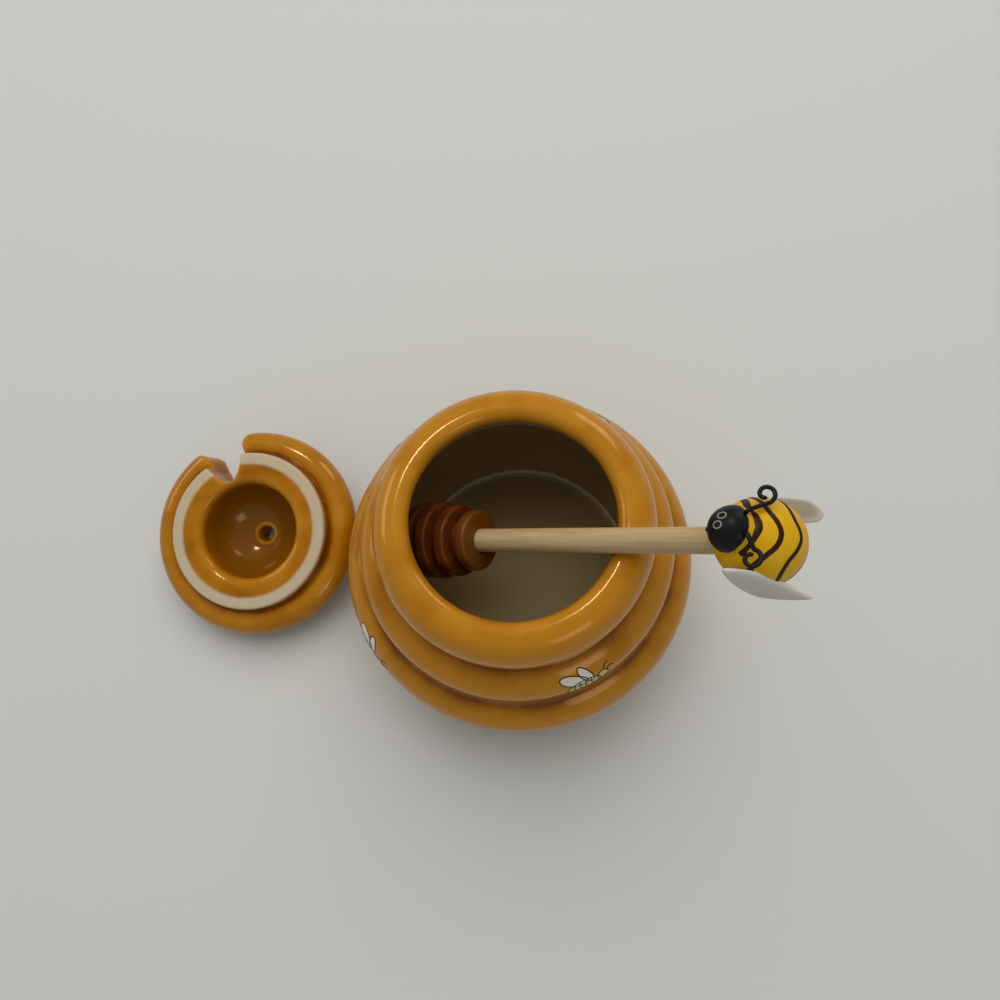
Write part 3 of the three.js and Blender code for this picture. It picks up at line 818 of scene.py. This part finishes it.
def print_stroke(skin, print_at, places, closed):
    """A pen line of paint through places of the drawing, following the skin."""
    run = [on_jar(skin, print_at, place) for place in places]
    return swept("stroke", [place + outward * PRINT_LIFT / 2 for place, outward in run],
                 [outward for _, outward in run], PRINT_LINE / 2, PRINT_LIFT, Matrix(), closed, PRINT_SIDES)


def make_prints(skin):
    white = enamel("print_white", "D9D2C6", PRINT_ROUGHNESS)
    straw = enamel("print_straw", "C9B46A", PRINT_ROUGHNESS)
    ink = enamel("print_black", "1A120C", PRINT_ROUGHNESS)
    strokes, fills = [], {"white": [], "straw": []}
    for print_at in PRINTED_BEES:
        for colour, outline in BEE_OUTLINES:
            fills[colour].append(print_fill(skin, print_at, outline))
            strokes.append(print_stroke(skin, print_at, outline, True))
        for stroke in BEE_STROKES:
            strokes.append(print_stroke(skin, print_at, through(stroke, PRINT_STEPS), False))
    for drawn, name, colour in ((strokes, "printed_strokes", ink), (fills["white"], "printed_wings", white),
                                (fills["straw"], "printed_bodies", straw)):
        made = join(drawn, name)
        made.data.materials.append(colour)
        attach(made, "jar")


# Lid

def lid_section():
    """The lid's closed section, from the vent's outer end over the outside and back through the bowl."""
    crown = arc(0, CROWN_RADIUS - LID_HEIGHT, CROWN_RADIUS, CROWN_RADIUS, *CROWN_ARC)
    half_cap = CAP_THICKNESS / 2
    cap = arc(CAP_RADIUS - half_cap, -CAP_DROP, half_cap, half_cap, *CAP_ARC)
    half_rim = RIM_THICKNESS / 2
    rim = arc(RIM_RADIUS - half_rim, -RIM_DROP, half_rim, half_rim, *RIM_ARC)
    collar = [(COLLAR_RADIUS + SEAT_EDGE, -COLLAR_DROP), (COLLAR_RADIUS, -SEAT_EDGE),
              (COLLAR_RADIUS - SEAT_EDGE, 0), (COLLAR_RADIUS - SEAT_WIDTH, 0)]
    hollow_lip = arc(HOLLOW_RADIUS + HOLLOW_LIP_RADIUS, -HOLLOW_LIP_RADIUS, HOLLOW_LIP_RADIUS,
                     HOLLOW_LIP_RADIUS, *HOLLOW_LIP_ARC)
    bowl = arc(0, -HOLLOW_LIP_RADIUS, HOLLOW_RADIUS, HOLLOW_DEPTH - HOLLOW_LIP_RADIUS, *BOWL_ARC)
    funnel = through([(radius, height - HOLLOW_DEPTH) for radius, height in VENT_FUNNEL], VENT_STEPS)
    return [(VENT_RADIUS, crown[0][1]), *crown, *cap, *rim, *collar, *hollow_lip, *bowl[1:], *funnel]


def notch_cutter():
    """The slot for the dipper's stick, running out along +X, slanted on one side and leaning on the other."""
    half = NOTCH_WIDTH / 2
    inner_end = HOLLOW_RADIUS + NOTCH_WALL
    outer = RIM_RADIUS + NOTCH_OVERRUN
    tight_middle = -NOTCH_SLANT_SIDE - NOTCH_TIGHT_CORNER
    wide_middle = NOTCH_WIDE_SIDE + NOTCH_WIDE_CORNER
    plan = arc(inner_end + half, 0, half, half, QUARTER, 2 * QUARTER, NOTCH_END_STEPS)
    start = Vector((inner_end, 0))
    bend = Vector((RIM_RADIUS - NOTCH_BEND_INSET, -NOTCH_BEND_SIDE))
    end = Vector((RIM_RADIUS - NOTCH_SLANT_INSET, -NOTCH_SLANT_SIDE))
    for i in range(1, NOTCH_STEPS + 1):
        t = i / NOTCH_STEPS
        plan.append(tuple(start * (1 - t) ** 2 + bend * 2 * t * (1 - t) + end * t * t))
    plan += arc(RIM_RADIUS - NOTCH_TIGHT_INSET, tight_middle, NOTCH_TIGHT_CORNER, NOTCH_TIGHT_CORNER,
                QUARTER, 0, NOTCH_STEPS)
    plan += [(outer, tight_middle), (outer, wide_middle)]
    plan += arc(RIM_RADIUS - NOTCH_WIDE_INSET, wide_middle, NOTCH_WIDE_CORNER, NOTCH_WIDE_CORNER,
                0, -QUARTER, NOTCH_STEPS)
    plan += [(inner_end + half + i, half + (NOTCH_WIDE_SIDE - half) * i / NOTCH_FLARE)
             for i in reversed(range(1, NOTCH_FLARE))]
    count = len(plan)
    points = []
    for z in (-NOTCH_DEPTH, NOTCH_HEADROOM):
        for x, y in plan:
            share = max(0, min(1, (x - inner_end) / NOTCH_LEAN_RUN)) if y > 0 else 0
            points.append((x, y + NOTCH_LEAN * share * share * (z + NOTCH_DEPTH) / NOTCH_DEPTH, z))
    faces = [(i, (i + 1) % count, count + (i + 1) % count, count + i) for i in range(count)]
    faces += [tuple(reversed(range(count))), tuple(range(count, 2 * count))]
    return points, faces


def lid_blank():
    """The lid before its notch is cut: its section turned once round."""
    section = lid_section()
    count = len(section)
    angles = [2 * math.pi * k / LID_SEGMENTS for k in range(LID_SEGMENTS)]
    points = [(radius * math.cos(a), radius * math.sin(a), z) for a in angles for radius, z in section]
    faces = []
    for k in range(LID_SEGMENTS):
        a, b = k * count, (k + 1) % LID_SEGMENTS * count
        faces += [(a + i, b + i, b + (i + 1) % count, a + (i + 1) % count) for i in range(count)]
    return points, faces


def make_lid():
    # The lid is cut and rounded in millimetres in its own frame, then set down on the table
    lid = new_piece("lid_pot", *lid_blank(), MM.inverted())
    cutter = new_piece("cutter", *notch_cutter(), MM.inverted())
    for one in (lid, cutter):
        face_outwards(one.data)
    cut = lid.modifiers.new("notch", "BOOLEAN")
    cut.operation, cut.object, cut.solver = "DIFFERENCE", cutter, "MANIFOLD"
    clay = lid.modifiers.new("clay", "REMESH")
    clay.mode, clay.voxel_size, clay.use_smooth_shade = "VOXEL", LID_GRAIN, True
    rounding = lid.modifiers.new("rounding", "SMOOTH")
    rounding.factor, rounding.iterations = LID_ROUNDING, LID_ROUNDING_PASSES
    bpy.context.view_layer.update()
    shaped = bpy.data.meshes.new_from_object(lid.evaluated_get(bpy.context.evaluated_depsgraph_get()))
    lid.modifiers.clear()
    lid.data = shaped
    shaped.shade_smooth()
    bpy.data.objects.remove(cutter)

    lean_axis = Vector((-math.sin(LID_LEAN_AZIMUTH), math.cos(LID_LEAN_AZIMUTH), 0))
    turn = Matrix.Rotation(LID_LEAN, 4, lean_axis) @ Matrix.Rotation(NOTCH_AZIMUTH, 4, "Z")
    lowest = min((turn @ v.co).z for v in shaped.vertices)
    distance = BELLY_RADIUS + LID_SPACING + RIM_RADIUS
    spot = Vector((distance * math.cos(LID_AZIMUTH), distance * math.sin(LID_AZIMUTH), -lowest))
    settle(lid, Matrix.Translation(spot) @ turn)
    note_hollows(lid, LID_CREASE_REACH, CREASE_DEPTH)
    note_pool_and_shade(lid)
    shaped.materials.clear()
    shaped.materials.append(amber_glaze("lid_glaze", True))
    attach(lid, "lid")
    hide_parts("lid")


# Dipper

def dipper_frame():
    """The dipper's frame where it leans on the lip, its origin on the stick over the lip's crest."""
    lift = (LIP_ROLL + STICK_RADIUS + TOUCH_GAP) / math.cos(STICK_ELEVATION) - LIP_ROLL
    spot = Vector((LIP_CREST_RADIUS * math.cos(REST_AZIMUTH), LIP_CREST_RADIUS * math.sin(REST_AZIMUTH),
                   JAR_HEIGHT + lift))
    return (Matrix.Translation(spot) @ Matrix.Rotation(STICK_AZIMUTH, 4, "Z")
            @ Matrix.Rotation(QUARTER - STICK_ELEVATION, 4, "Y"))


def bee_socket_bottom():
    """How far from the bee's middle the hole for the stick ends."""
    across = math.sin(BEE_NOD) / BEE_RADIUS
    along = math.cos(BEE_NOD) / BEE_HALF_LENGTH
    return 1 / math.hypot(across, along) - BEE_SOCKET


def make_stick(dipper):
    top = BEE_REACH - bee_socket_bottom() - TOUCH_GAP
    bottom = -HEAD_REACH - HEAD_SOCKET + TOUCH_GAP
    edge = STICK_RADIUS * STICK_EDGE_SHARE
    section = even([(0, bottom), (STICK_RADIUS - edge, bottom), (STICK_RADIUS, bottom + edge),
                    (STICK_RADIUS, top - edge), (STICK_RADIUS - edge, top), (0, top)], STICK_SPACING)
    stick = turned("stick", section, STICK_SEGMENTS, dipper)
    stick.data.materials.append(bare_wood())
    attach(stick, "dipper")
    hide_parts("dipper_stick")


def make_dipper_head(dipper):
    discs = []
    for i, radius in enumerate(DISC_RADII):
        top = -HEAD_REACH - DISC_PITCH * i
        bottom = top - DISC_WIDTH
        edge = (DISC_EDGE, DISC_EDGE)
        discs.append([(GROOVE_RADIUS, bottom),
                      *arc(radius - DISC_EDGE, bottom + DISC_EDGE, *edge, -QUARTER, 0, DISC_EDGE_STEPS),
                      *arc(radius - DISC_EDGE, top - DISC_EDGE, *edge, 0, QUARTER, DISC_EDGE_STEPS),
                      (GROOVE_RADIUS, top)])
    end = discs[-1][0][1] - HEAD_END_LENGTH
    hole = STICK_RADIUS + TOUCH_GAP
    line = [(0, end), (HEAD_END_RADIUS, end)]
    for disc in reversed(discs):
        line += disc
    line[-1] = (hole, -HEAD_REACH)
    rounded = softened(line, HEAD_SPACING, HEAD_SOFTNESS)
    section = [*rounded, (hole, -HEAD_REACH - HEAD_SOCKET), (0, -HEAD_REACH - HEAD_SOCKET)]
    head = turned("dipper_discs", section, HEAD_SEGMENTS, dipper)
    head.data.materials.append(stained_wood())
    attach(head, "dipper")
    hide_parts("dipper_head")


# Bee

def bee_radius(height):
    share = max(-1, min(1, height / BEE_HALF_LENGTH))
    return BEE_RADIUS * math.sqrt(1 - share * share) * (1 + BEE_TAPER * share)


def on_bee(azimuth, height):
    """A point of the body's skin and the way out of the skin there."""
    radius = bee_radius(height)
    slope = (bee_radius(height + BEE_SLOPE_STEP) - bee_radius(height - BEE_SLOPE_STEP)) / (2 * BEE_SLOPE_STEP)
    outward = Vector((math.cos(azimuth), math.sin(azimuth), -slope)).normalized()
    return Vector((radius * math.cos(azimuth), radius * math.sin(azimuth), height)), outward


def make_trunk(bee):
    heights = [height for _, height in arc(0, 0, 0, BEE_HALF_LENGTH, -QUARTER, QUARTER, TRUNK_STEPS)]
    egg = [(0, -BEE_HALF_LENGTH), *((bee_radius(height), height) for height in heights[1:-1]),
           (0, BEE_HALF_LENGTH)]
    trunk = turned("bee_trunk", egg, TRUNK_SEGMENTS, bee)
    trunk.data.materials.append(enamel("yellow_enamel", YELLOW, 0.42))
    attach(trunk, "dipper")
    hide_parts("bee_body")


def make_face(bee, black):
    skull = ball("skull", BEE_HEAD_RADIUS, BEE_HEAD_STEPS, BEE_HEAD_SEGMENTS,
                 bee @ Matrix.Translation(BEE_HEAD_CENTRE))
    nose = ball("nose", NOSE_RADIUS, NOSE_STEPS, NOSE_SEGMENTS,
                bee @ Matrix.Translation(BEE_HEAD_CENTRE + NOSE_DIRECTION * BEE_HEAD_RADIUS))
    for face in nose.data.polygons:
        face.material_index = 1
    head = join([skull, nose], "bee_face")
    head.data.materials.append(face_enamel())
    head.data.materials.append(black)
    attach(head, "dipper")
    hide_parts("bee_head")


def make_eyes(bee):
    rings = []
    for direction in EYE_DIRECTIONS:
        ahead = direction.normalized()
        across = ahead.cross(Vector((1, 0, 0))).normalized()
        up = across.cross(ahead)
        facing = []
        for i in range(EYE_STEPS):
            angle = 2 * math.pi * i / EYE_STEPS
            facing.append((ahead * BEE_HEAD_RADIUS + across * (EYE_WIDTH / 2 * math.cos(angle))
                           + up * (EYE_WIDTH * EYE_HALF_HEIGHT_SHARE * math.sin(angle))).normalized())
        ring = [BEE_HEAD_CENTRE + outward * BEE_HEAD_RADIUS for outward in facing]
        rings.append(swept("eye", ring, facing, EYE_LINE / 2, EYE_RELIEF, bee, closed=True))
    eyes = join(rings, "eye_rings")
    eyes.data.materials.append(enamel("eye_paint", "9A978C", 0.5))
    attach(eyes, "dipper")


def make_stripes(bee):
    bands = []
    for width, knots in STRIPES:
        line = [on_bee(math.radians(azimuth), height) for azimuth, height in through(knots, STRIPE_STEPS)]
        bands.append(swept("stripe", [point for point, _ in line], [outward for _, outward in line],
                           width / 2, STRIPE_RELIEF, bee))
    stripes = join(bands, "bee_stripes")
    stripes.data.materials.append(enamel("stripe_paint", "2A1004", 0.4))
    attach(stripes, "dipper")


def wing_shape(name, wing, edge, bee):
    """A petal of clay with rounded edges, cupped a little, beside the body."""
    front, tip, droop, side = wing
    along = (tip - front).normalized()
    facing = Vector((math.cos(droop), math.sin(droop) * side, 0))
    facing = (facing - along * facing.dot(along)).normalized()
    across = facing.cross(along)
    place = Matrix((along, across, facing)).transposed().to_4x4()
    place.translation = front
    # The outline's ends overlap, so that the smooth line through it closes without a kink
    outline = through([*edge[-2:], *edge, *edge[:3]], WING_STEPS)[2 * WING_STEPS:(2 + len(edge)) * WING_STEPS]
    middle = outline.mean(0)
    layers = [(i / WING_RINGS, 1) for i in range(1, WING_RINGS + 1)]
    layers += [(1 - i / WING_RINGS, -1) for i in range(1, WING_RINGS)]
    spokes = len(outline)
    points = []
    for reach, upper in layers:
        thick = WING_THICKNESS / 2 * (max(0, 1 - reach**WING_EDGE_POWER) ** 0.5)
        for corner in outline:
            x, y = middle + (corner - middle) * reach
            points.append((x, y, WING_CUP * (0.5 - reach * reach) + upper * thick))
    faces = []
    for i in range(len(layers) - 1):
        for k in range(spokes):
            a, b = i * spokes, (i + 1) * spokes
            faces.append((a + k, b + k, b + (k + 1) % spokes, a + (k + 1) % spokes))
    last = (len(layers) - 1) * spokes
    for first, upper in ((0, 1), (last, -1)):
        points.append((middle[0], middle[1], WING_CUP / 2 + upper * WING_THICKNESS / 2))
        for k in range(spokes):
            faces.append((first + k, first + (k + 1) % spokes, len(points) - 1))
    made = new_piece(name, points, faces, bee @ place)
    # The painted highlight along the wing's edge, which its thick rim catches: none in the middle, full at
    # the rim
    reaches = [reach for reach, _ in layers for _ in outline] + [0, 0]
    edge_highlight = made.data.attributes.new("edge", "FLOAT", "POINT")
    edge_highlight.data.foreach_set("value", [reach**EDGE_HIGHLIGHT_POWER for reach in reaches])
    face_outwards(made.data)
    return made


def make_wings(bee):
    # The far wing's white enamel is painted darker and warmer: painted shade, and painted yellow light
    # bounced off the body
    for name, shape, edge, colour in (
            ("wing_left", LEFT_WING, LEFT_WING_EDGE, wing_enamel("white_enamel_painted_shade_and_bounce", "988A74")),
            ("wing_right", RIGHT_WING, RIGHT_WING_EDGE, wing_enamel("white_enamel", "C2BFB4"))):
        wing = wing_shape(name, shape, edge, bee)
        wing.data.materials.append(colour)
        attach(wing, "dipper")
        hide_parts("bee_" + name)


def antenna_line(direction, curl, side):
    """The antenna's line from inside the head to the end of its curl, and the way out of the curl's plane."""
    direction = direction.normalized()
    root = BEE_HEAD_CENTRE + direction * (BEE_HEAD_RADIUS - ANTENNA_ROOT)
    stub = BEE_HEAD_CENTRE + direction * (BEE_HEAD_RADIUS + ANTENNA_STUB)
    across = Vector((math.cos(CURL_TILT), 0, -math.sin(CURL_TILT)))
    points = [root, stub]
    for i in range(CURL_STEPS + 1):
        share = i / CURL_STEPS
        radius = CURL_OUTER + (CURL_INNER - CURL_OUTER) * share
        angle = CURL_START + 2 * math.pi * CURL_TURNS * share
        points.append(curl + across * (radius * math.cos(angle))
                      + Vector((0, radius * math.sin(angle) * side, 0)))
    return through(points, ANTENNA_STEPS), across.cross(Vector((0, 1, 0)))


def make_antennae(bee, black):
    for name, direction, curl, side in (("antenna_left", LEFT_ANTENNA, LEFT_CURL, 1),
                                        ("antenna_right", RIGHT_ANTENNA, RIGHT_CURL, -1)):
        line, facing = antenna_line(direction, curl, side)
        wire = swept(name, line, [facing] * len(line), ANTENNA_RADIUS, ANTENNA_RADIUS, bee)
        wire.data.materials.append(black)
        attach(wire, "dipper")
        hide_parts("bee_" + name)


def make_bee(dipper):
    bee = dipper @ Matrix.Translation((0, 0, BEE_REACH)) @ Matrix.Rotation(BEE_NOD - math.pi, 4, "Y")
    black = enamel("black_enamel", BLACK, 0.35)
    make_trunk(bee)
    make_face(bee, black)
    make_eyes(bee)
    make_stripes(bee)
    make_wings(bee)
    make_antennae(bee, black)


# Setting

def make_table():
    corners = [(TABLE_REACH * x, TABLE_REACH * y, 0) for x, y in ((-1, -1), (1, -1), (1, 1), (-1, 1))]
    mesh = bpy.data.meshes.new("table_top")
    mesh.from_pydata(corners, [], [(0, 1, 2, 3)])
    mesh.materials.append(table_laminate())
    put_in_scene("table_top", mesh)


def make_light():
    """Pale walls all round, lamps that show as glints in the glaze, and a soft light from the ceiling."""
    scene = bpy.context.scene
    scene.view_settings.view_transform = "Standard"
    scene.world = bpy.data.worlds.new("room")
    scene.world.use_nodes = True
    walls = scene.world.node_tree.nodes["Background"]
    walls.inputs["Color"].default_value = paint("E8EAE9")
    walls.inputs["Strength"].default_value = ROOM_STRENGTH
    for name, place, wide, deep, power in LAMPS:
        lamp = bpy.data.lights.new(name, "AREA")
        lamp.shape, lamp.size, lamp.size_y, lamp.energy = "RECTANGLE", wide, deep, power
        lamp.color = paint("FFFBF4")[:3]
        held = put_in_scene(name, lamp)
        held.visible_glossy = name != "bounced_light"
        held.visible_diffuse = name == "bounced_light"
        held.location = place
        held.rotation_mode = "QUATERNION"
        held.rotation_quaternion = (-Vector(place)).to_track_quat("-Z", "Y")


def make_camera():
    camera = put_in_scene("phone", bpy.data.cameras.new("phone"))
    camera.data.lens = CAMERA_LENS
    camera.data.sensor_width = CAMERA_SENSOR
    camera.data.clip_start = CAMERA_NEAR
    matrix = Matrix((CAMERA_RIGHT, -CAMERA_DOWN, -CAMERA_FORWARD)).transposed().to_4x4()
    matrix.translation = CAMERA_PLACE / MM_PER_METRE
    camera.matrix_world = matrix
    bpy.context.scene.camera = camera


make_prints(make_jar())
make_lid()
dipper = dipper_frame()
make_stick(dipper)
make_dipper_head(dipper)
make_bee(dipper)
make_table()
make_light()
make_camera()
